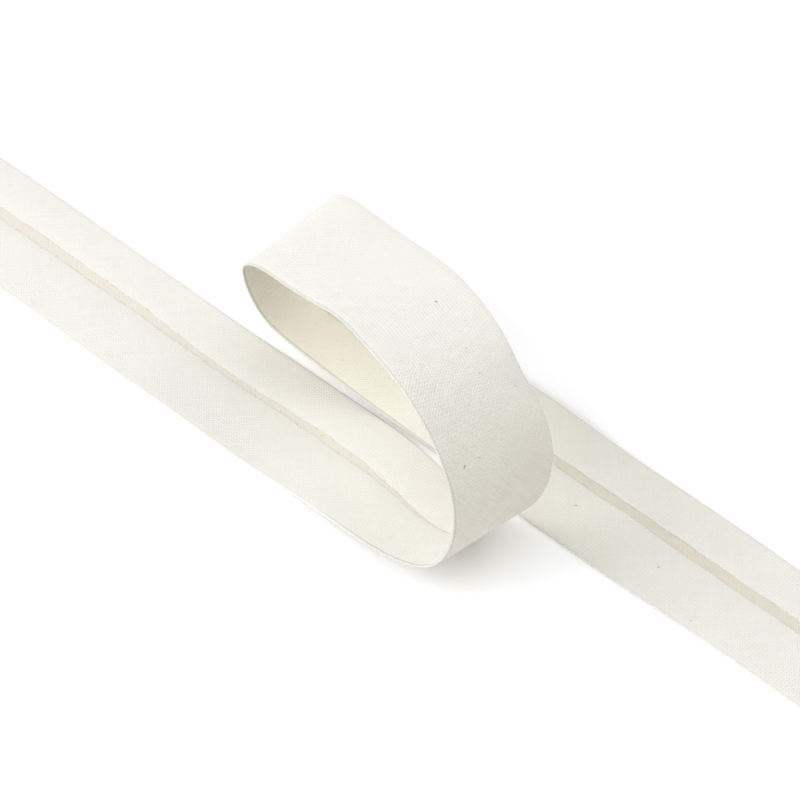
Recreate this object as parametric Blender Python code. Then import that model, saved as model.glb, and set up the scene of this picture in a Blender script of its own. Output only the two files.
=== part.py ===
"""A cut length of folded bias tape that lies on a table and is turned over once into an open loop.

The tape is one strip of cotton cloth, cut on the bias, with both long edges folded in until the
raw edges nearly meet on the inner side. The front run comes along the table in the +X direction,
curls up and back over itself, drifts sideways by one width, bends down round a tight nose and
runs out along the table beside the place where it came in.
"""

import math
from collections import namedtuple

import bmesh
import bpy
import numpy as np
from mathutils import Matrix, Vector

# Sizes are in millimetres and angles in degrees. MM turns a size into Blender's metres.
MM = 0.001

# The cloth and how it is folded: two flaps lie over the plain back, a little apart from it
TAPE_WIDTH = 20.0
CLOTH_THICKNESS = 1.0
LAYER_GAP = 0.3
LAYER_OFFSET = (CLOTH_THICKNESS + LAYER_GAP) / 2
FOLD_INSET = LAYER_OFFSET + CLOTH_THICKNESS / 2

# The two runs on the table, side by side, and the loop between them
LANE_SPACING = 20.4
FRONT_RUN_START = -95.0
LIFT_OFF = -9.0
TOUCH_DOWN = 34.0
BACK_RUN_END = 100.0

# Places along the loop: the middle of the tape, its height over where it lies on the table, and
# how far it leans about its own length, positive where its far edge is the higher one
Station = namedtuple("Station", "x y z lean")
LOOP = [
    Station(LIFT_OFF, 0.0, 0.0, 0),
    # the tape leaves the table, its near edge first
    Station(10.0, -0.5, 0.8, -3),
    Station(24.0, -2.5, 3.0, -12),
    # round the wide curl
    Station(34.0, -2.5, 10.0, -4),
    Station(35.5, -1.0, 22.5, 2),
    # over the top and down the slope to the left, drifting towards the far lane
    Station(24.5, 2.0, 31.0, 12),
    Station(11.0, 8.0, 28.5, 13),
    Station(-1.5, 13.5, 23.5, 6),
    Station(-14.5, 16.0, 20.0, 1),
    # round the tight nose
    Station(-25.0, 17.0, 16.5, -4),
    Station(-23.5, 17.0, 7.0, -17),
    # under the loop and back on to the table, its far edge last
    Station(-11.0, 19.0, 2.0, -9),
    Station(5.5, 20.7, 0.4, 0),
    Station(18.0, 20.5, 0.4, 2),
    Station(TOUCH_DOWN, LANE_SPACING, 0.0, 0),
]

# The seam where the raw edges nearly meet: its place across the tape, positive towards the far
# edge, and its open width, at shares of the tape's length
Seam = namedtuple("Seam", "share place opening")
SEAM = [
    Seam(0.00, 1.2, 1.2),
    Seam(0.20, 1.4, 1.0),
    Seam(0.38, 1.1, 0.6),
    Seam(0.70, 1.3, 0.7),
    Seam(0.85, 1.6, 1.0),
    Seam(1.00, 1.8, 1.4),
]

# How finely the form is cut into faces
PATH_STEP = 0.25
RING_TURN = 8.0
RING_SPACING = 8.0
FOLD_STEPS = 4
SHARP_ANGLE = 50.0

# The cloth's look: unbleached cotton
CLOTH_COLOUR = (0.80, 0.76, 0.64, 1.0)
CLOTH_ROUGHNESS = 0.95


def clear_scene():
    for item in list(bpy.data.objects):
        bpy.data.objects.remove(item, do_unlink=True)


def clamped_spline(knots, values, first_slope, last_slope, at):
    """Smooth curve through the values whose slope is given at both ends; returns places and slopes."""
    values = np.asarray(values, dtype=float)
    steps = np.diff(knots)
    count = len(knots)
    matrix = np.zeros((count, count))
    right = np.zeros_like(values)
    matrix[0, 0] = matrix[-1, -1] = 1.0
    right[0] = first_slope
    right[-1] = last_slope
    for i in range(1, count - 1):
        before, after = steps[i - 1], steps[i]
        matrix[i, i - 1 : i + 2] = after, 2 * (before + after), before
        rise_before = (values[i] - values[i - 1]) / before
        rise_after = (values[i + 1] - values[i]) / after
        right[i] = 3 * (after * rise_before + before * rise_after)
    slopes = np.linalg.solve(matrix, right)

    cell = np.clip(np.searchsorted(knots, at, side="right") - 1, 0, count - 2)
    width = steps[cell][:, None]
    t = (at - knots[cell])[:, None] / width
    start, end = values[cell], values[cell + 1]
    rise = end - start
    start_slope, end_slope = slopes[cell] * width, slopes[cell + 1] * width
    bend_in = start_slope - rise
    bend_out = rise - end_slope
    places = start + t * rise + t * (1 - t) * ((1 - t) * bend_in + t * bend_out)
    turns = rise + (1 - 2 * t) * ((1 - t) * bend_in + t * bend_out) + t * (1 - t) * (bend_out - bend_in)
    return places, turns / width


def tape_path():
    """Close points along the middle of the tape: place, direction and lean."""
    rows = np.array(LOOP, dtype=float)
    spans = np.linalg.norm(np.diff(rows[:, :3], axis=0), axis=1)
    knots = np.concatenate([[0.0], np.cumsum(spans)])
    at = np.arange(0.0, knots[-1], PATH_STEP)
    along = (1.0, 0.0, 0.0, 0.0)
    loop, slope = clamped_spline(knots, rows, along, along, at)

    front = np.arange(FRONT_RUN_START, LIFT_OFF, PATH_STEP)
    back = np.append(np.arange(TOUCH_DOWN, BACK_RUN_END, PATH_STEP), BACK_RUN_END)
    front_rows = np.column_stack([front, np.zeros((len(front), 3))])
    back_rows = np.column_stack([back, np.full(len(back), LANE_SPACING), np.zeros((len(back), 2))])
    path = np.vstack([front_rows, loop, back_rows])
    direction = np.vstack([np.tile(along, (len(front), 1)), slope, np.tile(along, (len(back), 1))])[:, :3]
    direction /= np.linalg.norm(direction, axis=1)[:, None]
    return path[:, :3], direction, np.radians(path[:, 3])


def tape_frames(direction, lean):
    """Across the tape, towards its far edge, and square to it, towards the side with the seam."""
    level = np.array([0.0, 1.0, 0.0]) - direction * direction[:, 1:2]
    level /= np.linalg.norm(level, axis=1)[:, None]
    upright = np.cross(direction, level)
    across = level * np.cos(lean)[:, None] + upright * np.sin(lean)[:, None]
    return across, np.cross(direction, across)


def ring_places(path, direction):
    """Indices along the path for the rings, closer together where the tape bends."""
    length = np.linalg.norm(np.diff(path, axis=0), axis=1)
    cosine = np.clip((direction[1:] * direction[:-1]).sum(axis=1), -1.0, 1.0)
    turn = np.degrees(np.arccos(cosine))
    measure = np.concatenate([[0.0], np.cumsum(length / RING_SPACING + turn / RING_TURN)])
    rings = int(math.ceil(measure[-1]))
    picked = np.interp(np.linspace(0.0, measure[-1], rings + 1), measure, np.arange(len(path)))
    share = np.concatenate([[0.0], np.cumsum(length)]) / length.sum()
    chosen = np.unique(np.round(picked).astype(int))
    return chosen, share[chosen]


def folded_section(place, opening):
    """Middle of the cloth from one raw edge to the other: (across, up) points and outward normals."""
    half = TAPE_WIDTH / 2 - FOLD_INSET
    points = []
    near_edge = place - opening / 2
    far_edge = place + opening / 2
    points.append((near_edge, LAYER_OFFSET, 0.0, 1.0))
    points.append(((near_edge - half) / 2, LAYER_OFFSET, 0.0, 1.0))
    for step in range(FOLD_STEPS + 1):
        angle = math.pi / 2 + math.pi * step / FOLD_STEPS
        normal = (math.cos(angle), math.sin(angle))
        points.append((-half + LAYER_OFFSET * normal[0], LAYER_OFFSET * normal[1], *normal))
    points.append((0.0, -LAYER_OFFSET, 0.0, -1.0))
    for step in range(FOLD_STEPS + 1):
        angle = -math.pi / 2 + math.pi * step / FOLD_STEPS
        normal = (math.cos(angle), math.sin(angle))
        points.append((half + LAYER_OFFSET * normal[0], LAYER_OFFSET * normal[1], *normal))
    points.append(((far_edge + half) / 2, LAYER_OFFSET, 0.0, 1.0))
    points.append((far_edge, LAYER_OFFSET, 0.0, 1.0))
    return np.array(points)


def cloth_material():
    material = bpy.data.materials.new("unbleached_cotton")
    material.use_nodes = True
    surface = material.node_tree.nodes["Principled BSDF"]
    surface.inputs["Base Color"].default_value = CLOTH_COLOUR
    surface.inputs["Roughness"].default_value = CLOTH_ROUGHNESS
    surface.inputs["Metallic"].default_value = 0.0
    return material


def centre_over_origin(mesh):
    """Puts the world origin on the table, under the middle of the tape's overall length and width."""
    places = [vertex.co for vertex in mesh.vertices]
    low = Vector([min(place[axis] for place in places) for axis in range(3)])
    high = Vector([max(place[axis] for place in places) for axis in range(3)])
    middle = (low + high) / 2
    mesh.transform(Matrix.Translation((-middle.x, -middle.y, -low.z)))


def build_tape():
    """The whole tape: rings of the folded section, joined face by face and closed at both cut ends."""
    path, direction, lean = tape_path()
    across, upward = tape_frames(direction, lean)
    chosen, share = ring_places(path, direction)
    shares = [row.share for row in SEAM]
    places = np.interp(share, shares, [row.place for row in SEAM])
    openings = np.interp(share, shares, [row.opening for row in SEAM])
    lift = np.array([0.0, 0.0, FOLD_INSET])

    mesh_tool = bmesh.new()
    rings = []
    for i, place, opening in zip(chosen, places, openings):
        section = folded_section(place, opening)
        outer = section[:, :2] + section[:, 2:] * CLOTH_THICKNESS / 2
        inner = section[:, :2] - section[:, 2:] * CLOTH_THICKNESS / 2
        ring = []
        for y, z in np.vstack([outer, inner[::-1]]):
            point = path[i] + lift + across[i] * y + upward[i] * z
            ring.append(mesh_tool.verts.new(point * MM))
        rings.append(ring)

    size = len(rings[0])
    for ring, following in zip(rings, rings[1:]):
        for k in range(size):
            after = (k + 1) % size
            mesh_tool.faces.new((ring[k], ring[after], following[after], following[k]))
    for ring in (rings[0], rings[-1]):
        for k in range(size // 2 - 1):
            mesh_tool.faces.new((ring[k], ring[k + 1], ring[size - 2 - k], ring[size - 1 - k]))
    bmesh.ops.recalc_face_normals(mesh_tool, faces=mesh_tool.faces)

    mesh = bpy.data.meshes.new("bias_tape")
    mesh_tool.to_mesh(mesh)
    mesh_tool.free()
    centre_over_origin(mesh)
    mesh.shade_smooth()
    mesh.set_sharp_from_angle(angle=math.radians(SHARP_ANGLE))
    mesh.materials.append(cloth_material())
    tape = bpy.data.objects.new("bias_tape", mesh)
    bpy.context.collection.objects.link(tape)


clear_scene()
build_tape()
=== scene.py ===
"""Dresses the cut length of folded bias tape that is turned over once into an open loop.

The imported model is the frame. Its one solid, the tape, is replaced by a sheet of thin cotton
cloth: a flat strip, cut on the bias, is folded along both edges and carried along the same line as
the solid. Yarn ends stand out of its raw edges. Sizes are in millimetres and angles in degrees.
"""

import math
import random
from collections import namedtuple

import bpy
import numpy as np
from mathutils import Euler, Matrix, Vector


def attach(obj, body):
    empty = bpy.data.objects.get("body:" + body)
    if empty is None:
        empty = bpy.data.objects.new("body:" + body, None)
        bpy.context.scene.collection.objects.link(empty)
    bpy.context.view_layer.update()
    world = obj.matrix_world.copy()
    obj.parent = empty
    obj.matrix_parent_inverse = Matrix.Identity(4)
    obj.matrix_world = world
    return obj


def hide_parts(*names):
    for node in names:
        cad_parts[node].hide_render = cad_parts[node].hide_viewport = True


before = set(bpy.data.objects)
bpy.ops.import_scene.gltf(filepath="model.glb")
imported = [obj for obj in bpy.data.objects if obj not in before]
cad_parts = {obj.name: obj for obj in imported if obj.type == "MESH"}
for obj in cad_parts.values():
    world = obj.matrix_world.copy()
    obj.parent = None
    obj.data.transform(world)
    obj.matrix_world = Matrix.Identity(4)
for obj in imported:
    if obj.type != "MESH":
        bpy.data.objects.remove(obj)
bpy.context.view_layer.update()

# MM turns a size in millimetres into Blender's metres
MM = 0.001

# The cloth and how it is folded
TAPE_WIDTH = 20.0
CLOTH_THICKNESS = 0.20
LAYER_GAP = 0.02
LAYER_OFFSET = (CLOTH_THICKNESS + LAYER_GAP) / 2
FOLD_INSET = LAYER_OFFSET + CLOTH_THICKNESS / 2
CUT_SIZE = (39.0, 347.0)

# How thick the cloth is at a raw edge, and one and two cells in from it, as shares: it is frayed
# and pressed thin there
RAW_EDGE_THICKNESS = (0.4, 0.8, 1.0)

# How far a raw edge is pressed towards the plain back, as a share of the gap between the layers
PRESSED_SHARE = 0.8

# How far a flap's middle and its raw edge rise from the flap's plane
FLAP_CROWN = 0.06
RAW_EDGE_RISE = 0.006

# The line that the tape follows, as in the part's source
FRONT_RUN_START = -95.0
LIFT_OFF = -9.0
TOUCH_DOWN = 34.0
BACK_RUN_END = 100.0
LANE_SPACING = 20.4
PATH_STEP = 0.25

Station = namedtuple("Station", "x y z lean")
LOOP = [
    Station(LIFT_OFF, 0.0, 0.0, 0),
    # the tape leaves the table, its near edge first
    Station(10.0, -0.5, 0.8, -3),
    Station(24.0, -2.5, 3.0, -12),
    # round the wide curl
    Station(34.0, -2.5, 10.0, -4),
    Station(35.5, -1.0, 22.5, 2),
    # over the top and down the slope to the left, drifting towards the far lane
    Station(24.5, 2.0, 31.0, 12),
    Station(11.0, 8.0, 28.5, 13),
    Station(-1.5, 13.5, 23.5, 6),
    Station(-14.5, 16.0, 20.0, 1),
    # round the tight nose
    Station(-25.0, 17.0, 16.5, -4),
    Station(-23.5, 17.0, 7.0, -17),
    # under the loop and back on to the table, its far edge last
    Station(-11.0, 19.0, 2.0, -9),
    Station(5.5, 20.7, 0.4, 0),
    Station(18.0, 20.5, 0.4, 2),
    Station(TOUCH_DOWN, LANE_SPACING, 0.0, 0),
]

# The seam where the raw edges nearly meet: how far along the tape, its place across the tape,
# positive towards the far edge, and its open width
Seam = namedtuple("Seam", "along place opening")
SEAM = [
    Seam(0.0, 1.6, 2.0),
    Seam(37.0, 1.6, 2.0),
    Seam(53.0, 1.6, 1.8),
    Seam(61.0, 1.3, 1.5),
    Seam(70.0, 1.05, 1.15),
    Seam(78.0, 1.25, 1.2),
    Seam(86.0, 1.55, 1.5),
    Seam(94.0, 1.6, 1.6),
    Seam(101.0, 1.35, 1.5),
    Seam(109.0, 1.1, 0.8),
    Seam(118.0, 0.8, 0.4),
    Seam(128.0, 0.6, 0.15),
    Seam(138.0, 0.7, 0.1),
    Seam(180.0, 1.0, 0.25),
    Seam(240.0, 1.2, 0.9),
    Seam(275.0, 1.5, 1.7),
    Seam(293.0, 1.65, 1.9),
    Seam(310.0, 1.4, 2.0),
    Seam(347.0, 1.5, 2.0),
]

# Small unevenness along the tape, each a sum of sine waves
Wave = namedtuple("Wave", "height length start")
SEAM_DRIFT = [Wave(0.05, 23.0, 0.6), Wave(0.03, 9.0, 0.1)]
NEAR_RAW_EDGE = [Wave(0.06, 17.0, 0.2), Wave(0.04, 6.3, 0.7), Wave(0.025, 2.9, 0.4)]
FAR_RAW_EDGE = [Wave(0.07, 21.0, 0.8), Wave(0.04, 7.7, 0.3), Wave(0.025, 3.4, 0.1)]
NEAR_FOLD = [Wave(0.10, 74.0, 0.35), Wave(0.05, 27.0, 0.1)]
FAR_FOLD = [Wave(0.11, 66.0, 0.85), Wave(0.05, 31.0, 0.5)]
NEAR_FLAP_CROWN = [Wave(0.04, 43.0, 0.2), Wave(0.02, 15.0, 0.9)]
FAR_FLAP_CROWN = [Wave(0.04, 52.0, 0.7), Wave(0.02, 18.0, 0.4)]
RAW_EDGE_LIFT = [Wave(0.003, 33.0, 0.6), Wave(0.002, 11.0, 0.2)]

# Flecks of seed husk: how far along the tape, flat place across the cloth, length, turn, darkness
Fleck = namedtuple("Fleck", "along flat length turn darkness")
FLECKS = [
    # on the plain side of the loop
    Fleck(180.2, 4.2, 0.9, 20, 0.90),
    Fleck(175.5, 3.6, 0.5, 70, 0.25),
    Fleck(165.5, 3.6, 0.6, 10, 0.60),
    Fleck(160.0, 3.3, 0.6, 100, 0.35),
    Fleck(156.0, 7.8, 0.5, 40, 0.30),
    Fleck(148.3, -6.4, 0.8, 130, 0.55),
    Fleck(148.5, -3.4, 0.6, 60, 0.35),
    Fleck(203.0, -7.0, 0.6, 15, 0.25),
    Fleck(192.0, -1.5, 0.5, 80, 0.15),
    # on the flaps
    Fleck(65.5, -15.1, 0.7, 35, 0.12),
    Fleck(27.0, 13.5, 0.5, 120, 0.15),
    Fleck(231.5, -16.7, 0.5, 90, 0.25),
    Fleck(283.5, -16.8, 0.6, 25, 0.60),
    Fleck(300.3, -16.1, 0.6, 65, 0.60),
    Fleck(310.5, -11.3, 0.6, 10, 0.45),
    Fleck(321.0, -11.9, 0.5, 110, 0.25),
    Fleck(331.0, 14.0, 0.6, 45, 0.35),
    # on the side that lies on the table
    Fleck(22.0, 4.0, 0.7, 30, 0.50),
    Fleck(58.0, -5.5, 0.5, 75, 0.35),
    Fleck(92.0, 2.0, 0.6, 140, 0.45),
    Fleck(318.0, -3.5, 0.6, 20, 0.40),
]

# The seam's reach at points that aren't on the plain back, well outside its opening
OUTSIDE_SEAM = 9.0

# Left of this x there is only the front run
FRONT_RUN_ALONE = -60.0

# A loose end of yarn: its steps, with how far each reaches, shifts, rises and narrows
YARN_RADIUS = 0.055
YarnStep = namedtuple("YarnStep", "reach shift rise size")
YARN_STEPS = [
    YarnStep(0.16, 0.00, 0.01, 0.92),
    YarnStep(0.14, 0.02, -0.02, 0.82),
    YarnStep(0.12, 0.04, -0.04, 0.45),
]

# How the loose ends are strewn along a raw edge and across a cut end, each by the least and the
# most: where the first one stands, how far apart they are, and how far over the layer's middle
EDGE_START = (0.5, 1.5)
EDGE_SPACING = (1.2, 4.5)
EDGE_RISE = (-0.06, -0.02)
END_START = (0.0, 0.8)
END_SPACING = (0.4, 1.4)
END_RISE = (-0.02, 0.06)

# They follow the two sets of yarn, each turned a little off them, longer or shorter, and leaning
YARN_SLANTS = [-45, 45]
SLANT_SPREAD = (-12, 12)
YARN_LENGTHS = (0.6, 1.25)
YARN_LEAN = (-0.25, 0.05)

# How far from its edge a loose end starts, and how far from the middle those of a cut end stand
YARN_ROOT = 0.05
CUT_END_REACH = 9.3

# Cells of the cloth's grid, along the tape and across it from raw edge to raw edge
ROWS = 520
FLAP_CELLS = 11
FOLD_CELLS = 7
BACK_CELLS = 16

# Edges that bend more than this are shown sharp
CLOTH_SHARP_ANGLE = 50
YARN_SHARP_ANGLE = 60

# The cotton's surface, the same for the cloth and its loose yarn
COTTON_SURFACE = {
    "Roughness": 0.95,
    "Specular IOR Level": 0.25,
    "Sheen Weight": 0.12,
    "Sheen Roughness": 0.5,
}

# The cotton's two creams, the husk in it, the painted shade of the seam's floor and of the folds,
# and the painted light at the nose
WARM_CREAM = (0.720, 0.681, 0.582, 1.0)
PALE_CREAM = (0.747, 0.712, 0.617, 1.0)
HUSK = (0.20, 0.15, 0.09, 1.0)
NO_TINT = (1.0, 1.0, 1.0, 1.0)
SEAM_SHADE_ON_FRONT_RUN = (0.945, 0.92, 0.865, 1.0)
SEAM_SHADE_ON_BACK_RUN = (0.885, 0.855, 0.785, 1.0)
FOLD_SHADE = (0.78, 0.77, 0.75, 1.0)
LIT_THROUGH = (1.15, 1.125, 1.08, 1.0)

# Smooth steps along the tape: no sign of the change at the first length, all of it at the second
CURL_STARTS = (105.0, 130.0)
CURL_ENDS = (195.0, 165.0)
BACK_RUN_STARTS = (262.0, 285.0)
SEAM_SHADE_DEEPENS = (130.0, 260.0)
NEAR_FOLD_DARKENS = (100.0, 120.0)
NEAR_FOLD_CLEARS = (285.0, 262.0)
NOSE_STARTS = (212.0, 230.0)
NOSE_ENDS = (265.0, 250.0)

# The same for the painted shade across a fold, by how far past its crest a point is, on the flap and
# on the plain back, and across the seam, by how far from its middle a point is, as a share of half the
# opening
FOLD_ON_FLAP = (0.55, 0.25)
FOLD_ON_BACK = (-0.45, -0.05)
SEAM_SHADE_EDGE = (1.5, 0.6)

# How much painted shade the folds get, as shares: everywhere, and how much more on the near one in the
# loop
FOLD_SHARE = 0.15
LOOP_FOLD_SHARE = 0.85

# The weave: yarns in one metre, how far they wander, and how high they stand out
YARNS_PER_METRE = 2700.0
YARN_WANDER = 0.45
WEAVE_RELIEF = 0.08
TWIST_RELIEF = 0.02

# How thick the yarns are, by the least and what the slubs add, in yarn spacings, and how far the
# noise behind the slubs moves on, along a yarn and from one yarn to the next
YARN_THICKNESS = 0.27
SLUB_THICKNESS = 0.34
NOISE_ALONG_YARN = 0.045
NOISE_TO_NEXT_YARN = 3.71

# How high each set of yarn stands in the weave: its middle, and how far it goes up from there; one
# set is down where the other is up
YARN_WAVES = [(0.55, 0.45), (0.32, -0.28)]

# How the yarns' tone follows their slubs: from the first pair's range to the second's
SLUB_RANGE = (0.3, 0.7)
YARN_TONES = (0.98, 1.015)

# How light the weave is, with painted shade in the gaps between its yarns: by the share of gap
# between them, before and after its depth
GAP_SLOPE = -0.10
GAP_START = 0.095
WEAVE_LIGHTNESS = 0.91

# How deep the weave shows where the tape lies, and how much deeper in the curl and on the back run
# The depth also paints the whole cloth lighter where it is larger, painted light that is strongest on the
# curl
FLAT_DEPTH = 0.5
CURL_DEPTH = 1.1
BACK_RUN_DEPTH = 0.4

# The flecks: how far their edges are torn, how narrow they are, and where they fade, by length
FLECK_RAGGEDNESS = 0.3
FLECK_NARROWNESS = 2.2
FLECK_EDGE = (0.55, 0.25)

# The fine specks: how many in one metre, the share left out, the largest, where they fade, and how
# dark they are, by the least and what chance adds
SPECKS_PER_METRE = 150.0
SPECKS_LEFT_OUT = 0.72
SPECK_RADIUS = 0.035
SPECK_EDGE = (1.0, 0.4)
SPECK_DARKNESS = (0.08, 0.25)

# How finely the cotton's creams change, on the cloth and on the loose yarn, and the yarn's twist
CLOTH_CLOUDS = 90.0
YARN_CLOUDS = 900.0
TWIST_RIDGES = 2500.0

# The softboxes: how far from the tape and how wide, in metres, and their two colours
SOFTBOX_DISTANCE = 0.9
SOFTBOX_SIZE = 0.8
COOL_LIGHT = (0.81, 0.855, 0.985)
WARM_LIGHT = (0.825, 0.853, 0.90)

# The room: the floor's colour, and the even light from all round
FLOOR_COLOUR = (0.965, 0.951, 0.916, 1.0)
SKY_COLOUR = (1.0, 0.975, 0.86, 1.0)
SKY_STRENGTH = 0.305

# The picture's viewpoint, with its distance in metres
LOOKS_AT = Vector((-2.5, 6.0, 0.4)) * MM
AZIMUTH = 44.2
ELEVATION = 45.0
CAMERA_DISTANCE = 0.743
LENS = 226.1


def waver(along, waves):
    """Slow unevenness: the sum of the waves at each length along the tape."""
    return sum(wave.height * np.sin(2 * math.pi * (along / wave.length + wave.start)) for wave in waves)


def clamped_spline(knots, values, first_slope, last_slope, at):
    """Smooth curve through the values whose slope is given at both ends; returns places and slopes."""
    values = np.asarray(values, dtype=float)
    steps = np.diff(knots)
    count = len(knots)
    matrix = np.zeros((count, count))
    right = np.zeros_like(values)
    matrix[0, 0] = matrix[-1, -1] = 1.0
    right[0] = first_slope
    right[-1] = last_slope
    for i in range(1, count - 1):
        before, after = steps[i - 1], steps[i]
        matrix[i, i - 1 : i + 2] = after, 2 * (before + after), before
        rise_before = (values[i] - values[i - 1]) / before
        rise_after = (values[i + 1] - values[i]) / after
        right[i] = 3 * (after * rise_before + before * rise_after)
    slopes = np.linalg.solve(matrix, right)

    cell = np.clip(np.searchsorted(knots, at, side="right") - 1, 0, count - 2)
    width = steps[cell][:, None]
    t = (at - knots[cell])[:, None] / width
    start, end = values[cell], values[cell + 1]
    rise = end - start
    start_slope, end_slope = slopes[cell] * width, slopes[cell + 1] * width
    bend_in = start_slope - rise
    bend_out = rise - end_slope
    places = start + t * rise + t * (1 - t) * ((1 - t) * bend_in + t * bend_out)
    turns = rise + (1 - 2 * t) * ((1 - t) * bend_in + t * bend_out) + t * (1 - t) * (bend_out - bend_in)
    return places, turns / width


def tape_path():
    """Close points along the middle of the tape: place, direction and lean."""
    rows = np.array(LOOP, dtype=float)
    spans = np.linalg.norm(np.diff(rows[:, :3], axis=0), axis=1)
    knots = np.concatenate([[0.0], np.cumsum(spans)])
    at = np.arange(0.0, knots[-1], PATH_STEP)
    along = (1.0, 0.0, 0.0, 0.0)
    loop, slope = clamped_spline(knots, rows, along, along, at)

    front = np.arange(FRONT_RUN_START, LIFT_OFF, PATH_STEP)
    back = np.append(np.arange(TOUCH_DOWN, BACK_RUN_END, PATH_STEP), BACK_RUN_END)
    front_rows = np.column_stack([front, np.zeros((len(front), 3))])
    back_rows = np.column_stack([back, np.full(len(back), LANE_SPACING), np.zeros((len(back), 2))])
    path = np.vstack([front_rows, loop, back_rows])
    direction = np.vstack([np.tile(along, (len(front), 1)), slope, np.tile(along, (len(back), 1))])[:, :3]
    direction /= np.linalg.norm(direction, axis=1)[:, None]
    return path[:, :3], direction, np.radians(path[:, 3])


class Guide:
    """The tape's line on the table: for any length along it, the middle, across and upward."""

    def __init__(self):
        path, direction, lean = tape_path()
        level = np.array([0.0, 1.0, 0.0]) - direction * direction[:, 1:2]
        level /= np.linalg.norm(level, axis=1)[:, None]
        upright = np.cross(direction, level)
        across = level * np.cos(lean)[:, None] + upright * np.sin(lean)[:, None]
        self.middle = path + self.place_of_front_run()
        self.across = across
        self.upward = np.cross(direction, across)
        steps = np.linalg.norm(np.diff(path, axis=0), axis=1)
        self.along = np.concatenate([[0.0], np.cumsum(steps)])
        self.length = self.along[-1]

    def place_of_front_run(self):
        """From the line's own origin to the row frame, read off the front end of the CAD tape."""
        places = np.array([vertex.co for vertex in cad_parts["bias_tape"].data.vertices]) / MM
        start = places[:, 0].min()
        end_face = places[places[:, 0] < start + PATH_STEP]
        middle = (end_face[:, 1].min() + end_face[:, 1].max()) / 2
        return np.array([start - FRONT_RUN_START, middle, FOLD_INSET])

    def at(self, along):
        """Middle, across and upward at each length along the tape."""
        found = [
            np.column_stack([np.interp(along, self.along, column) for column in table.T])
            for table in (self.middle, self.across, self.upward)
        ]
        for table in found[1:]:
            table /= np.linalg.norm(table, axis=1)[:, None]
        return found


def seam_edges(along):
    """Where the near and the far raw edge lie across the tape."""
    known = [row.along for row in SEAM]
    place = np.interp(along, known, [row.place for row in SEAM]) + waver(along, SEAM_DRIFT)
    opening = np.interp(along, known, [row.opening for row in SEAM])
    share = np.clip(opening, 0.0, 1.0)
    near = place - opening / 2 + share * waver(along, NEAR_RAW_EDGE)
    far = place + opening / 2 + share * waver(along, FAR_RAW_EDGE)
    return near, far


def flap_section(fold, raw, share, crown, edge_lift):
    """A flap from its raw edge (share 0) to its fold (share 1), crowned a little over the back."""
    y = raw + (fold - raw) * share
    thickness = np.interp(share * FLAP_CELLS, (0, 1, 2), RAW_EDGE_THICKNESS)
    pressed = PRESSED_SHARE * LAYER_GAP * np.interp(share * FLAP_CELLS, (0, 2), (1, 0))
    z = LAYER_OFFSET - CLOTH_THICKNESS / 2 * (1 - thickness) - pressed
    return y, z + crown * np.sin(math.pi * share) ** 2 + edge_lift * (1 - share) ** 3


def folded_places(along, column):
    """Section places, flat widths and distances past the fold's crest, given length and column."""
    near_raw, far_raw = seam_edges(along)
    half = TAPE_WIDTH / 2 - FOLD_INSET
    near_fold = -half - waver(along, NEAR_FOLD)
    far_fold = half + waver(along, FAR_FOLD)
    near_crown = FLAP_CROWN + waver(along, NEAR_FLAP_CROWN)
    far_crown = FLAP_CROWN + waver(along, FAR_FLAP_CROWN)
    lift = RAW_EDGE_RISE + waver(along, RAW_EDGE_LIFT)
    arc = math.pi * LAYER_OFFSET

    y = np.zeros_like(along)
    z = np.zeros_like(along)
    flat = np.zeros_like(along)

    first = FLAP_CELLS
    second = first + FOLD_CELLS
    third = second + BACK_CELLS
    fourth = third + FOLD_CELLS
    last = fourth + FLAP_CELLS

    here = column <= first
    share = column[here] / first
    y[here], z[here] = flap_section(near_fold[here], near_raw[here], share, near_crown[here], lift[here])
    flat[here] = near_fold[here] - arc - (near_raw - near_fold)[here] * (1 - share)

    here = (column > first) & (column <= second)
    angle = math.pi / 2 + math.pi * (column[here] - first) / FOLD_CELLS
    y[here] = near_fold[here] + LAYER_OFFSET * np.cos(angle)
    z[here] = LAYER_OFFSET * np.sin(angle)
    flat[here] = near_fold[here] - arc * (second - column[here]) / FOLD_CELLS

    here = (column > second) & (column <= third)
    share = (column[here] - second) / BACK_CELLS
    y[here] = near_fold[here] + (far_fold - near_fold)[here] * share
    z[here] = -LAYER_OFFSET
    flat[here] = y[here]

    here = (column > third) & (column <= fourth)
    angle = -math.pi / 2 + math.pi * (column[here] - third) / FOLD_CELLS
    y[here] = far_fold[here] + LAYER_OFFSET * np.cos(angle)
    z[here] = LAYER_OFFSET * np.sin(angle)
    flat[here] = far_fold[here] + arc * (column[here] - third) / FOLD_CELLS

    here = column > fourth
    share = (last - column[here]) / FLAP_CELLS
    y[here], z[here] = flap_section(far_fold[here], far_raw[here], share, far_crown[here], lift[here])
    flat[here] = far_fold[here] + arc + (far_fold - far_raw)[here] * (1 - share)
    past_near_crest = near_fold - arc / 2 - flat
    past_far_crest = flat - far_fold - arc / 2
    return y, z, flat, np.where(column < (first + fourth) / 2, past_near_crest, past_far_crest)


def deselect_all():
    bpy.ops.object.select_all(action="DESELECT")


def only_active(piece):
    deselect_all()
    piece.select_set(True)
    bpy.context.view_layer.objects.active = piece


def cut_strip():
    """The flat strip as it is cut: a fine grid at the cloth's cut size."""
    deselect_all()
    columns = 2 * FLAP_CELLS + 2 * FOLD_CELLS + BACK_CELLS
    bpy.ops.mesh.primitive_grid_add(x_subdivisions=ROWS, y_subdivisions=columns, size=1.0)
    strip = bpy.context.object
    strip.name = "folded_tape"
    strip.data.name = "folded_tape"
    bpy.ops.object.mode_set(mode="EDIT")
    bpy.ops.mesh.select_all(action="SELECT")
    bpy.ops.transform.resize(value=(CUT_SIZE[1] * MM, CUT_SIZE[0] * MM, 1.0))
    bpy.ops.object.mode_set(mode="OBJECT")
    return strip, columns


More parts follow.
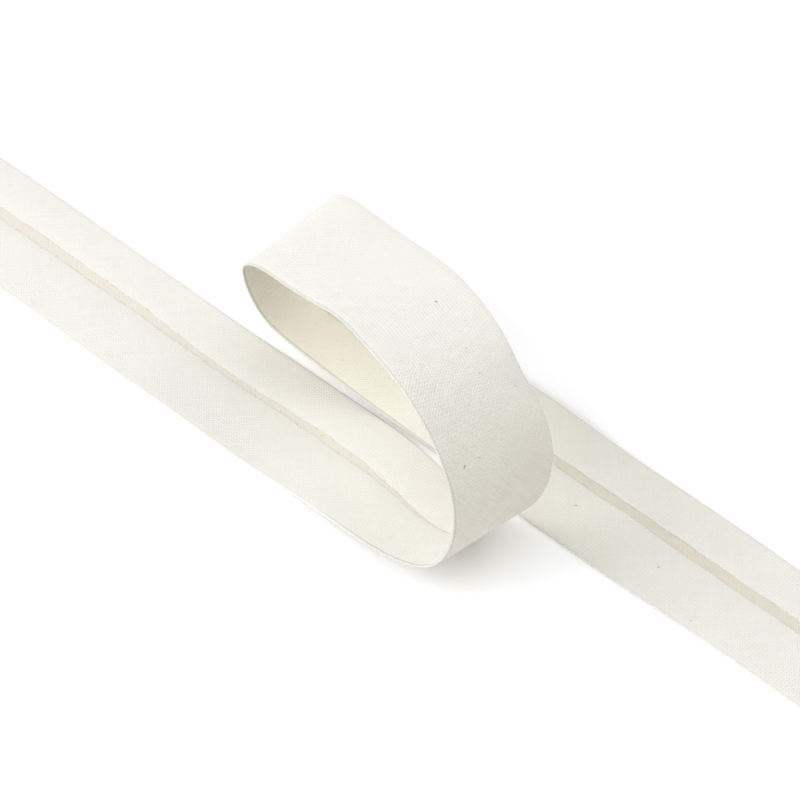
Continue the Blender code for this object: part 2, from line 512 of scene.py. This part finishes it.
def fold_and_lay(strip, columns, guide):
    """Folds both edges of the strip in and lays it along the guide; its UV map stays flat, in metres.

    Returns how far each point is from the seam's middle, as a share of half the opening, for the
    plain back, where the folds and the flaps are given a place well outside the opening; and how far
    each point is past the crest of its fold, on the side of the flap.
    """
    mesh = strip.data
    flat_places = np.empty(len(mesh.vertices) * 3)
    mesh.vertices.foreach_get("co", flat_places)
    flat_places = flat_places.reshape(-1, 3) / MM
    along = (flat_places[:, 0] / CUT_SIZE[1] + 0.5) * guide.length
    column = np.round((flat_places[:, 1] / CUT_SIZE[0] + 0.5) * columns)
    y, z, flat, past_crest = folded_places(along, column)
    middle, across, upward = guide.at(along)
    places = (middle + across * y[:, None] + upward * z[:, None]) * MM

    corners = np.empty(len(mesh.loops), dtype=int)
    mesh.loops.foreach_get("vertex_index", corners)
    cloth_map = mesh.uv_layers.new(name="cloth")
    cloth_map.data.foreach_set("uv", (np.column_stack([along, flat]) * MM)[corners].ravel())
    for layer in [layer for layer in mesh.uv_layers if layer.name != "cloth"]:
        mesh.uv_layers.remove(layer)
    mesh.vertices.foreach_set("co", places.ravel())
    mesh.update()

    thin = strip.vertex_groups.new(name="thickness")
    from_raw_edge = np.minimum(column, columns - column)
    for step, thickness in enumerate(RAW_EDGE_THICKNESS):
        here = np.minimum(from_raw_edge, len(RAW_EDGE_THICKNESS) - 1) == step
        thin.add(np.flatnonzero(here).tolist(), thickness, "REPLACE")

    near_raw, far_raw = seam_edges(along)
    reach = (2 * y - near_raw - far_raw) / (far_raw - near_raw)
    on_back = (column > FLAP_CELLS + FOLD_CELLS) & (column < FLAP_CELLS + FOLD_CELLS + BACK_CELLS)
    beside = np.where(column < columns / 2, -OUTSIDE_SEAM, OUTSIDE_SEAM)
    return np.where(on_back, reach, beside), past_crest


def thicken(strip):
    """Gives the folded sheet its thickness, half to each side."""
    only_active(strip)
    solidify = strip.modifiers.new("thickness", "SOLIDIFY")
    solidify.thickness = CLOTH_THICKNESS * MM
    solidify.offset = 0.0
    solidify.use_even_offset = True
    solidify.vertex_group = "thickness"
    bpy.ops.object.modifier_apply(modifier=solidify.name)
    bpy.ops.object.shade_smooth_by_angle(angle=math.radians(CLOTH_SHARP_ANGLE))


def mark_seam_and_folds(strip, seam_reach, past_crest):
    """Writes both distances on the points; the seam's only on the inner of the two shells."""
    count = len(seam_reach)
    places = np.array([vertex.co for vertex in strip.data.vertices]) / MM
    on_front_run = (np.abs(seam_reach) < OUTSIDE_SEAM / 2) & (places[:count, 0] < FRONT_RUN_ALONE)
    first_is_inner = places[:count, 2][on_front_run].mean() > places[count:, 2][on_front_run].mean()
    outside = np.full(count, OUTSIDE_SEAM)
    shells = (seam_reach, outside) if first_is_inner else (outside, seam_reach)
    # The seam's distance places the painted shade in the seam, and the crest's the painted shade on the
    # folds
    marks = strip.data.attributes.new("seam_reach", "FLOAT", "POINT")
    marks.data.foreach_set("value", np.concatenate(shells))
    crests = strip.data.attributes.new("past_crest", "FLOAT", "POINT")
    crests.data.foreach_set("value", np.concatenate([past_crest, past_crest]))


# The cloth's look

def add_node(tree, kind, place, **settings):
    node = tree.nodes.new(kind)
    node.location = place
    for name, value in settings.items():
        setattr(node, name, value)
    return node


def new_group(name, inputs, outputs):
    """An empty shader node group with its named sockets; returns the tree, its input and its output."""
    tree = bpy.data.node_groups.new(name, "ShaderNodeTree")
    for label, kind, value in inputs:
        socket = tree.interface.new_socket(label, in_out="INPUT", socket_type=kind)
        if value is not None:
            socket.default_value = value
    for label, kind in outputs:
        tree.interface.new_socket(label, in_out="OUTPUT", socket_type=kind)
    entry = add_node(tree, "NodeGroupInput", (-1600, 0))
    leave = add_node(tree, "NodeGroupOutput", (1400, 0))
    return tree, entry, leave


def sums(tree, operation, place, *values):
    """A math node whose inputs are sockets or plain numbers; returns its result."""
    node = add_node(tree, "ShaderNodeMath", place, operation=operation)
    for socket, value in zip(node.inputs, values):
        if isinstance(value, (int, float)):
            socket.default_value = value
        else:
            tree.links.new(value, socket)
    return node.outputs[0]


def mixed(tree, place, factor, first, second, blend="MIX"):
    """A colour mix whose factor and colours are sockets, numbers or colours; returns its result."""
    node = add_node(tree, "ShaderNodeMix", place, data_type="RGBA", blend_type=blend)
    for socket, value in zip((node.inputs[0], node.inputs[6], node.inputs[7]), (factor, first, second)):
        if isinstance(value, (int, float, tuple)):
            socket.default_value = value
        else:
            tree.links.new(value, socket)
    return node.outputs[2]


def ramp(tree, place, value, ends, unit=1.0):
    """A smooth step, 0 at the first of the two ends and 1 at the second; returns its result."""
    node = add_node(tree, "ShaderNodeMapRange", place, interpolation_type="SMOOTHSTEP")
    node.inputs["From Min"].default_value = ends[0] * unit
    node.inputs["From Max"].default_value = ends[1] * unit
    tree.links.new(value, node.inputs["Value"])
    return node.outputs["Result"]


def split_place(tree, place, cloth_place):
    """The place in the cloth's map as two sockets, along the tape and across the flat cloth."""
    node = add_node(tree, "ShaderNodeSeparateXYZ", place)
    tree.links.new(cloth_place, node.inputs[0])
    return node.outputs["X"], node.outputs["Y"]


def jittered(tree, place, scale, detail, reach, cloth_place):
    """The place in the cloth's map, moved by a fine noise of up to the reach in millimetres."""
    noise = add_node(tree, "ShaderNodeTexNoise", (place[0] - 200, place[1]))
    noise.inputs["Scale"].default_value = scale
    noise.inputs["Detail"].default_value = detail
    tree.links.new(cloth_place, noise.inputs["Vector"])
    moved = add_node(tree, "ShaderNodeVectorMath", place, operation="MULTIPLY_ADD")
    tree.links.new(noise.outputs["Color"], moved.inputs[0])
    moved.inputs[1].default_value = (reach * MM, reach * MM, 0.0)
    tree.links.new(cloth_place, moved.inputs[2])
    return moved.outputs[0]


def plain_weave_group():
    """Two sets of yarn at 45 degrees to the tape, each over and under the other, spun a bit unevenly."""
    tree, entry, leave = new_group(
        "plain weave on the bias",
        [("Cloth place", "NodeSocketVector", None)],
        [("Height", "NodeSocketFloat"), ("Yarn tone", "NodeSocketFloat"), ("Gap", "NodeSocketFloat")],
    )
    link = tree.links.new

    wandering = jittered(tree, (-1200, -260), 260.0, 2.0, YARN_WANDER, entry.outputs["Cloth place"])
    slant = math.sqrt(0.5)
    lanes = []
    for row, direction in enumerate([(slant, slant, 0.0), (slant, -slant, 0.0)]):
        dot = add_node(tree, "ShaderNodeVectorMath", (-1000, -300 * row), operation="DOT_PRODUCT")
        link(wandering, dot.inputs[0])
        dot.inputs[1].default_value = direction
        lane = sums(tree, "MULTIPLY", (-840, -300 * row), dot.outputs["Value"], YARNS_PER_METRE)
        number = sums(tree, "ROUND", (-680, -300 * row), lane)
        lanes.append((lane, number))

    heights = []
    tones = []
    covers = []
    for row, (own, other) in enumerate([lanes, lanes[::-1]]):
        lane, number = own
        down = -420 * row
        along = sums(tree, "MULTIPLY", (-520, down - 140), other[0], NOISE_ALONG_YARN)
        yarn = add_node(tree, "ShaderNodeCombineXYZ", (-360, down - 140))
        spread = sums(tree, "MULTIPLY", (-520, down - 280), number, NOISE_TO_NEXT_YARN)
        link(spread, yarn.inputs["X"])
        link(along, yarn.inputs["Y"])
        yarn.inputs["Z"].default_value = 5.0 * row
        slub = add_node(tree, "ShaderNodeTexNoise", (-200, down - 140))
        slub.inputs["Scale"].default_value = 1.0
        slub.inputs["Detail"].default_value = 3.0
        link(yarn.outputs["Vector"], slub.inputs["Vector"])
        slubs = slub.outputs["Fac"]
        thick = sums(tree, "MULTIPLY_ADD", (-40, down - 140), slubs, SLUB_THICKNESS, YARN_THICKNESS)

        aside = sums(tree, "SUBTRACT", (-520, down), lane, number)
        reach = sums(tree, "DIVIDE", (120, down), aside, thick)
        square = sums(tree, "MULTIPLY", (280, down), reach, reach)
        inside = sums(tree, "SUBTRACT", (440, down), 1.0, square)
        inside = sums(tree, "MAXIMUM", (600, down), inside, 0.0)
        crown = sums(tree, "SQRT", (760, down), inside)

        phase = sums(tree, "ADD", (120, down - 280), other[0], number)
        turn = sums(tree, "MULTIPLY", (280, down - 280), phase, math.pi)
        wave = sums(tree, "COSINE", (440, down - 280), turn)
        middle, over = YARN_WAVES[row]
        rise = sums(tree, "MULTIPLY_ADD", (600, down - 280), wave, over, middle)
        heights.append(sums(tree, "MULTIPLY", (920, down), crown, rise))
        tones.append(slubs)
        covers.append(crown)

    link(sums(tree, "MAXIMUM", (1160, 0), *heights), leave.inputs["Height"])
    warp_over = sums(tree, "GREATER_THAN", (1160, -160), *heights)
    tone = add_node(tree, "ShaderNodeMix", (1160, -320), data_type="FLOAT")
    link(warp_over, tone.inputs[0])
    link(tones[1], tone.inputs[2])
    link(tones[0], tone.inputs[3])
    link(tone.outputs[0], leave.inputs["Yarn tone"])
    cover = sums(tree, "MAXIMUM", (1160, -480), *covers)
    link(sums(tree, "SUBTRACT", (1300, -480), 1.0, cover), leave.inputs["Gap"])
    return tree


def weave_depth_and_light_group():
    """How deep the weave shows: flat where the tape lies, deeper where the curl bends it open, where the
    same depth paints the cloth lighter.
    """
    tree, entry, leave = new_group(
        "weave depth and painted light", [("Cloth place", "NodeSocketVector", None)], [("Depth", "NodeSocketFloat")]
    )
    along, _ = split_place(tree, (-1000, 0), entry.outputs["Cloth place"])
    into_curl = ramp(tree, (-800, 0), along, CURL_STARTS, MM)
    before_its_end = ramp(tree, (-800, -280), along, CURL_ENDS, MM)
    on_back_run = ramp(tree, (-800, -560), along, BACK_RUN_STARTS, MM)
    bent = sums(tree, "MULTIPLY", (-500, 0), into_curl, before_its_end)
    deeper = sums(tree, "MULTIPLY_ADD", (-300, 0), bent, CURL_DEPTH, FLAT_DEPTH)
    all_depths = sums(tree, "MULTIPLY_ADD", (-100, 0), on_back_run, BACK_RUN_DEPTH, deeper)
    tree.links.new(all_depths, leave.inputs["Depth"])
    return tree


def seed_fleck_group():
    """One dark fleck of seed husk in the cloth: a short, ragged speck at a place of its own."""
    tree, entry, leave = new_group(
        "seed fleck",
        [
            ("Ragged place", "NodeSocketVector", None),
            ("Fleck place", "NodeSocketVector", (0.0, 0.0, 0.0)),
            ("Length", "NodeSocketFloat", 0.0006),
            ("Turn", "NodeSocketFloat", 0.0),
            ("Darkness", "NodeSocketFloat", 0.8),
            ("Marks so far", "NodeSocketFloat", 0.0),
        ],
        [("Marks", "NodeSocketFloat")],
    )
    link = tree.links.new
    away = add_node(tree, "ShaderNodeVectorMath", (-1000, -100), operation="SUBTRACT")
    link(entry.outputs["Ragged place"], away.inputs[0])
    link(entry.outputs["Fleck place"], away.inputs[1])
    turned = add_node(tree, "ShaderNodeVectorRotate", (-800, -100), rotation_type="Z_AXIS")
    link(away.outputs[0], turned.inputs["Vector"])
    link(entry.outputs["Turn"], turned.inputs["Angle"])
    narrow = add_node(tree, "ShaderNodeVectorMath", (-600, -100), operation="MULTIPLY")
    link(turned.outputs[0], narrow.inputs[0])
    narrow.inputs[1].default_value = (1.0, FLECK_NARROWNESS, 1.0)
    distance = add_node(tree, "ShaderNodeVectorMath", (-400, -100), operation="LENGTH")
    link(narrow.outputs[0], distance.inputs[0])
    reach = sums(tree, "DIVIDE", (-200, -100), distance.outputs["Value"], entry.outputs["Length"])
    inside = ramp(tree, (0, -100), reach, FLECK_EDGE)
    mark = sums(tree, "MULTIPLY", (200, -100), inside, entry.outputs["Darkness"])
    link(sums(tree, "MAXIMUM", (400, -100), mark, entry.outputs["Marks so far"]), leave.inputs["Marks"])
    return tree


def husk_specks_group():
    """Tiny pale specks of husk, strewn thinly over the whole cloth."""
    tree, entry, leave = new_group(
        "husk specks",
        [("Ragged place", "NodeSocketVector", None)],
        [("Marks", "NodeSocketFloat")],
    )
    link = tree.links.new
    cells = add_node(tree, "ShaderNodeTexVoronoi", (-1000, 0), voronoi_dimensions="2D")
    link(entry.outputs["Ragged place"], cells.inputs["Vector"])
    cells.inputs["Scale"].default_value = SPECKS_PER_METRE
    lots = add_node(tree, "ShaderNodeSeparateColor", (-800, -200))
    link(cells.outputs["Color"], lots.inputs["Color"])
    radius = sums(tree, "MULTIPLY", (-600, -300), lots.outputs["Green"], SPECK_RADIUS)
    reach = sums(tree, "DIVIDE", (-400, 0), cells.outputs["Distance"], radius)
    inside = ramp(tree, (-200, 0), reach, SPECK_EDGE)
    chosen = sums(tree, "GREATER_THAN", (-400, -200), lots.outputs["Red"], SPECKS_LEFT_OUT)
    least, more = SPECK_DARKNESS
    depth = sums(tree, "MULTIPLY_ADD", (-200, -400), lots.outputs["Blue"], more, least)
    mark = sums(tree, "MULTIPLY", (0, 0), inside, chosen)
    link(sums(tree, "MULTIPLY", (200, 0), mark, depth), leave.inputs["Marks"])
    return tree


def cotton_tone_group():
    """The unbleached cotton's colour, which changes slowly between two creams."""
    tree, entry, leave = new_group(
        "cotton tone",
        [("Place", "NodeSocketVector", None), ("Scale", "NodeSocketFloat", CLOTH_CLOUDS)],
        [("Colour", "NodeSocketColor")],
    )
    cloudy = add_node(tree, "ShaderNodeTexNoise", (-900, 0))
    cloudy.inputs["Detail"].default_value = 4.0
    tree.links.new(entry.outputs["Place"], cloudy.inputs["Vector"])
    tree.links.new(entry.outputs["Scale"], cloudy.inputs["Scale"])
    cream = mixed(tree, (-500, 0), cloudy.outputs["Fac"], WARM_CREAM, PALE_CREAM)
    tree.links.new(cream, leave.inputs["Colour"])
    return tree


def seam_shade_group():
    """Painted shade on the bottom of the open seam, warmer and darker than the cloth round it, on the
    back run most.
    """
    tree, entry, leave = new_group(
        "painted shade in the seam",
        [("Cloth place", "NodeSocketVector", None), ("Seam reach", "NodeSocketFloat", OUTSIDE_SEAM)],
        [("Tint", "NodeSocketColor")],
    )
    away = sums(tree, "ABSOLUTE", (-1000, 0), entry.outputs["Seam reach"])
    inside = ramp(tree, (-800, 0), away, SEAM_SHADE_EDGE)
    along, _ = split_place(tree, (-1000, -300), entry.outputs["Cloth place"])
    later = ramp(tree, (-800, -300), along, SEAM_SHADE_DEEPENS, MM)
    # the painted shade on the seam's floor, paler on the front run and deeper on the back run
    floor = mixed(tree, (-500, -300), later, SEAM_SHADE_ON_FRONT_RUN, SEAM_SHADE_ON_BACK_RUN)
    tree.links.new(mixed(tree, (-200, 0), inside, NO_TINT, floor), leave.inputs["Tint"])
    return tree


def fold_shade_group():
    """Painted shade on the two folded edges, which makes them darker, on the loop's near one most."""
    tree, entry, leave = new_group(
        "painted shade on the folds",
        [("Cloth place", "NodeSocketVector", None), ("Past crest", "NodeSocketFloat", None)],
        [("Tint", "NodeSocketColor")],
    )
    along, flat = split_place(tree, (-1400, -600), entry.outputs["Cloth place"])
    before_flap = ramp(tree, (-1100, 0), entry.outputs["Past crest"], FOLD_ON_FLAP)
    past_back = ramp(tree, (-1100, -280), entry.outputs["Past crest"], FOLD_ON_BACK)
    into_loop = ramp(tree, (-1100, -560), along, NEAR_FOLD_DARKENS, MM)
    before_its_end = ramp(tree, (-1100, -840), along, NEAR_FOLD_CLEARS, MM)
    on_fold = sums(tree, "MULTIPLY", (-800, 0), before_flap, past_back)
    in_loop = sums(tree, "MULTIPLY", (-800, -560), into_loop, before_its_end)
    near_side = sums(tree, "LESS_THAN", (-800, -760), flat, 0.0)
    near_in_loop = sums(tree, "MULTIPLY", (-600, -560), in_loop, near_side)
    strength = sums(tree, "MULTIPLY_ADD", (-400, -560), near_in_loop, LOOP_FOLD_SHARE, FOLD_SHARE)
    # the painted shade on the folds, strongest on the loop's near fold
    amount = sums(tree, "MULTIPLY", (-100, -200), on_fold, strength)
    tree.links.new(mixed(tree, (200, 0), amount, NO_TINT, FOLD_SHADE), leave.inputs["Tint"])
    return tree


def lit_through_group():
    """Painted light inside the tight nose, paler and warmer, as light that comes through the cloth would
    make it.
    """
    tree, entry, leave = new_group(
        "lit through at the nose",
        [("Cloth place", "NodeSocketVector", None)],
        [("Tint", "NodeSocketColor")],
    )
    along, _ = split_place(tree, (-1000, 0), entry.outputs["Cloth place"])
    into_nose = ramp(tree, (-800, 0), along, NOSE_STARTS, MM)
    before_its_end = ramp(tree, (-800, -300), along, NOSE_ENDS, MM)
    at_nose = sums(tree, "MULTIPLY", (-500, 0), into_nose, before_its_end)
    # the painted light, only at the nose
    tree.links.new(mixed(tree, (-200, 0), at_nose, NO_TINT, LIT_THROUGH), leave.inputs["Tint"])
    return tree


def cotton_material(name):
    """A new material with the cotton's surface; returns it, its node tree and its surface node."""
    material = bpy.data.materials.new(name)
    material.use_nodes = True
    tree = material.node_tree
    surface = tree.nodes["Principled BSDF"]
    for setting, value in COTTON_SURFACE.items():
        surface.inputs[setting].default_value = value
    return material, tree, surface


def add_relief(tree, place, height, distance, surface):
    """Relief by shading on the surface; the distance is that of a height of 1."""
    relief = add_node(tree, "ShaderNodeBump", place)
    relief.inputs["Distance"].default_value = distance * MM
    tree.links.new(height, relief.inputs["Height"])
    tree.links.new(relief.outputs["Normal"], surface.inputs["Normal"])


def cloth_material(weave, depth, fleck, specks, cotton, *tints):
    """Unbleached cotton: slow changes of tone, the weave with painted shade in its gaps, painted shade
    in the seam and on the folds, painted light at the nose, and flecks.

    Each tint is a node group, with the point attribute that it reads and the socket for that, or
    None for both.
    """
    material, tree, surface = cotton_material("unbleached_cotton_cloth")
    link = tree.links.new
    surface.location = (1400, 0)
    tree.nodes["Material Output"].location = (1700, 0)

    cloth = add_node(tree, "ShaderNodeUVMap", (-1400, 0), uv_map="cloth").outputs["UV"]
    woven = add_node(tree, "ShaderNodeGroup", (-900, -200), node_tree=weave)
    link(cloth, woven.inputs["Cloth place"])
    base = add_node(tree, "ShaderNodeGroup", (-900, 300), node_tree=cotton)
    link(cloth, base.inputs["Place"])
    deep = add_node(tree, "ShaderNodeGroup", (-900, -460), node_tree=depth)
    link(cloth, deep.inputs["Cloth place"])

    yarns = add_node(tree, "ShaderNodeMapRange", (-500, 0))
    yarns.inputs["From Min"].default_value = SLUB_RANGE[0]
    yarns.inputs["From Max"].default_value = SLUB_RANGE[1]
    yarns.inputs["To Min"].default_value = YARN_TONES[0]
    yarns.inputs["To Max"].default_value = YARN_TONES[1]
    link(woven.outputs["Yarn tone"], yarns.inputs["Value"])
    # painted shade in the gaps between the yarns, and painted light where the weave is deeper, most on
    # the curl
    gap = sums(tree, "MULTIPLY_ADD", (-680, -260), woven.outputs["Gap"], GAP_SLOPE, GAP_START)
    weave_shade_and_light = sums(tree, "MULTIPLY_ADD", (-500, -260), gap, deep.outputs["Depth"], WEAVE_LIGHTNESS)
    shade = sums(tree, "MULTIPLY", (-300, -100), yarns.outputs["Result"], weave_shade_and_light)
    toned = mixed(tree, (-100, 200), 1.0, base.outputs["Colour"], shade, "MULTIPLY")
    # The tints: painted shade in the seam and on the folds, and painted light at the nose
    for row, (group, attribute, socket) in enumerate(tints):
        up = 460 + 160 * row
        tint = add_node(tree, "ShaderNodeGroup", (-900, up), node_tree=group)
        link(cloth, tint.inputs["Cloth place"])
        if attribute:
            mark = add_node(tree, "ShaderNodeAttribute", (-1200, up), attribute_name=attribute)
            link(mark.outputs["Fac"], tint.inputs[socket])
        toned = mixed(tree, (100 + 200 * row, 200), 1.0, toned, tint.outputs["Tint"], "MULTIPLY")

    ragged = jittered(tree, (-1000, 700), 3500.0, 2.0, FLECK_RAGGEDNESS, cloth)
    strewn = add_node(tree, "ShaderNodeGroup", (-800, 900), node_tree=specks)
    link(ragged, strewn.inputs["Ragged place"])
    marks = strewn.outputs["Marks"]
    for count, row in enumerate(FLECKS):
        speck = add_node(tree, "ShaderNodeGroup", (-600 + 180 * count, 900), node_tree=fleck)
        link(ragged, speck.inputs["Ragged place"])
        speck.inputs["Fleck place"].default_value = (row.along * MM, row.flat * MM, 0.0)
        speck.inputs["Length"].default_value = row.length * MM
        speck.inputs["Turn"].default_value = math.radians(row.turn)
        speck.inputs["Darkness"].default_value = row.darkness
        link(marks, speck.inputs["Marks so far"])
        marks = speck.outputs["Marks"]
    link(mixed(tree, (900, 200), marks, toned, HUSK), surface.inputs["Base Color"])

    height = sums(tree, "MULTIPLY", (700, -300), woven.outputs["Height"], deep.outputs["Depth"])
    add_relief(tree, (900, -300), height, WEAVE_RELIEF, surface)
    return material


def yarn_material(cotton):
    """Loose ends of the same yarn: the same cotton, with the fine ridges of its twist."""
    material, tree, surface = cotton_material("loose_cotton_yarn")
    link = tree.links.new
    place = add_node(tree, "ShaderNodeTexCoord", (-1200, 0))
    base = add_node(tree, "ShaderNodeGroup", (-800, 100), node_tree=cotton)
    base.inputs["Scale"].default_value = YARN_CLOUDS
    link(place.outputs["Object"], base.inputs["Place"])
    link(base.outputs["Colour"], surface.inputs["Base Color"])
    twist = add_node(tree, "ShaderNodeTexWave", (-800, -300))
    twist.inputs["Scale"].default_value = TWIST_RIDGES
    twist.inputs["Distortion"].default_value = 2.0
    link(place.outputs["Object"], twist.inputs["Vector"])
    add_relief(tree, (-400, -300), twist.outputs["Fac"], TWIST_RELIEF, surface)
    return material


# The loose yarn ends

def one_yarn_end():
    """A short end of yarn that stands along +X: a small ring, extruded, narrowed and bent."""
    deselect_all()
    facing_x = (0, math.pi / 2, 0)
    radius = YARN_RADIUS * MM
    bpy.ops.mesh.primitive_circle_add(vertices=5, radius=radius, fill_type="NGON", rotation=facing_x)
    yarn = bpy.context.object
    yarn.name = "yarn_end"
    bpy.ops.object.mode_set(mode="EDIT")
    bpy.ops.mesh.select_all(action="SELECT")
    for step in YARN_STEPS:
        move = (step.reach * MM, step.shift * MM, step.rise * MM)
        bpy.ops.mesh.extrude_region_move(TRANSFORM_OT_translate={"value": move})
        bpy.ops.transform.resize(value=(step.size, step.size, step.size))
    bpy.ops.mesh.select_all(action="SELECT")
    bpy.ops.mesh.normals_make_consistent(inside=False)
    bpy.ops.object.mode_set(mode="OBJECT")
    bpy.ops.object.transform_apply(location=True, rotation=True, scale=True)
    return yarn


def yarn_end_places(guide):
    """Where each loose end starts and which way it lies, at random but the same on each run."""
    chance = random.Random(27)
    found = []
    for edge, outward, root in ((0, 90, -YARN_ROOT), (1, -90, YARN_ROOT)):
        along = chance.uniform(*EDGE_START)
        while along < guide.length - EDGE_START[0]:
            y = seam_edges(np.array([along]))[edge][0] + root
            z = LAYER_OFFSET + chance.uniform(*EDGE_RISE)
            slant = chance.choice(YARN_SLANTS) + chance.uniform(*SLANT_SPREAD)
            found.append((along, y, z, slant + outward))
            along += chance.uniform(*EDGE_SPACING)
    for along, outward in ((YARN_ROOT, 180), (guide.length - YARN_ROOT, 0)):
        for layer in (-LAYER_OFFSET, LAYER_OFFSET):
            y = -CUT_END_REACH + chance.uniform(*END_START)
            while y < CUT_END_REACH:
                slant = chance.choice(YARN_SLANTS) + chance.uniform(*SLANT_SPREAD)
                found.append((along, y, layer + chance.uniform(*END_RISE), slant + outward))
                y += chance.uniform(*END_SPACING)
    return found


def add_yarn_ends(guide):
    """Copies the yarn end to every place along the raw edges and the cut ends, as one piece."""
    pattern = one_yarn_end()
    chance = random.Random(53)
    copies = []
    for along, y, z, turn in yarn_end_places(guide):
        middle, across, upward = (table[0] for table in guide.at(np.array([along])))
        direction = np.cross(across, upward)
        axes = Matrix(np.column_stack([direction, across, upward]).tolist()).to_4x4()
        place = Matrix.Translation(Vector(middle + across * y + upward * z) * MM)
        size = chance.uniform(*YARN_LENGTHS)
        roll = chance.uniform(-math.pi, math.pi)
        lean = Euler((roll, chance.uniform(*YARN_LEAN), math.radians(turn))).to_matrix().to_4x4()
        copy = pattern.copy()
        copy.data = pattern.data.copy()
        copy.data.transform(place @ axes @ lean @ Matrix.Diagonal((size, 1, 1, 1)))
        bpy.context.collection.objects.link(copy)
        copies.append(copy)
    bpy.data.objects.remove(pattern)
    deselect_all()
    for copy in copies:
        copy.select_set(True)
    bpy.context.view_layer.objects.active = copies[0]
    bpy.ops.object.join()
    yarns = bpy.context.object
    yarns.name = "loose_yarn_ends"
    bpy.ops.object.shade_smooth_by_angle(angle=math.radians(YARN_SHARP_ANGLE))
    return yarns


# The room

def build_floor():
    deselect_all()
    bpy.ops.mesh.primitive_plane_add(size=4.0, location=(0.0, 0.0, 0.0))
    floor = bpy.context.object
    floor.name = "floor"
    material = bpy.data.materials.new("white_floor")
    material.use_nodes = True
    surface = material.node_tree.nodes["Principled BSDF"]
    surface.inputs["Base Color"].default_value = FLOOR_COLOUR
    surface.inputs["Roughness"].default_value = 1.0
    surface.inputs["Specular IOR Level"].default_value = 0.0
    floor.data.materials.append(material)


def add_softbox(name, bearing, height, energy, colour):
    """A square softbox that faces the tape, at a bearing and a height that are both angles.

    Bearing 0 is +X and 90 is +Y; height 0 is level with the table.
    """
    turn = math.radians(bearing)
    rise = math.radians(height)
    towards = Vector((math.cos(rise) * math.cos(turn), math.cos(rise) * math.sin(turn), math.sin(rise)))
    place = towards * SOFTBOX_DISTANCE
    bpy.ops.object.light_add(type="AREA", location=place)
    lamp = bpy.context.object
    lamp.name = name
    lamp.data.shape = "SQUARE"
    lamp.data.size = SOFTBOX_SIZE
    lamp.data.energy = energy
    lamp.data.color = colour
    lamp.rotation_euler = (-place).to_track_quat("-Z", "Y").to_euler()


def build_lights():
    world = bpy.data.worlds.new("white room")
    bpy.context.scene.world = world
    world.use_nodes = True
    sky = world.node_tree.nodes["Background"]
    sky.inputs["Color"].default_value = SKY_COLOUR
    sky.inputs["Strength"].default_value = SKY_STRENGTH
    add_softbox("softbox on the left", 224.0, 30.0, 7.1, COOL_LIGHT)
    add_softbox("softbox in front", 269.0, 30.0, 5.0, COOL_LIGHT)
    add_softbox("softbox in front, high", 269.0, 58.0, 1.5, COOL_LIGHT)
    add_softbox("softbox on the right", 44.0, 30.0, 2.1, WARM_LIGHT)
    add_softbox("softbox behind", 89.0, 30.0, 3.7, WARM_LIGHT)
    add_softbox("softbox overhead", 0.0, 89.9, 2.25, COOL_LIGHT)


def build_camera():
    azimuth = math.radians(AZIMUTH)
    elevation = math.radians(ELEVATION)
    back = Vector(
        (
            math.sin(azimuth) * math.cos(elevation),
            -math.cos(azimuth) * math.cos(elevation),
            math.sin(elevation),
        )
    )
    bpy.ops.object.camera_add(location=LOOKS_AT + back * CAMERA_DISTANCE)
    camera = bpy.context.object
    camera.name = "camera"
    camera.rotation_euler = (-back).to_track_quat("-Z", "Y").to_euler()
    camera.data.lens = LENS
    camera.data.sensor_width = 36.0
    camera.data.clip_start = 0.01
    camera.data.clip_end = 20.0
    scene = bpy.context.scene
    scene.camera = camera
    scene.view_settings.view_transform = "Standard"


guide = Guide()
strip, columns = cut_strip()
seam_reach, past_crest = fold_and_lay(strip, columns, guide)
thicken(strip)
mark_seam_and_folds(strip, seam_reach, past_crest)
cotton = cotton_tone_group()
patterns = [plain_weave_group(), weave_depth_and_light_group(), seed_fleck_group(), husk_specks_group()]
tints = [
    # painted shade on the seam's floor
    (seam_shade_group(), "seam_reach", "Seam reach"),
    # painted shade on the folds
    (fold_shade_group(), "past_crest", "Past crest"),
    # painted light inside the nose
    (lit_through_group(), None, None),
]
strip.data.materials.append(cloth_material(*patterns, cotton, *tints))
yarns = add_yarn_ends(guide)
yarns.data.materials.append(yarn_material(cotton))
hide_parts("bias_tape")
for piece in (strip, yarns):
    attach(piece, "root")

build_floor()
build_lights()
build_camera()
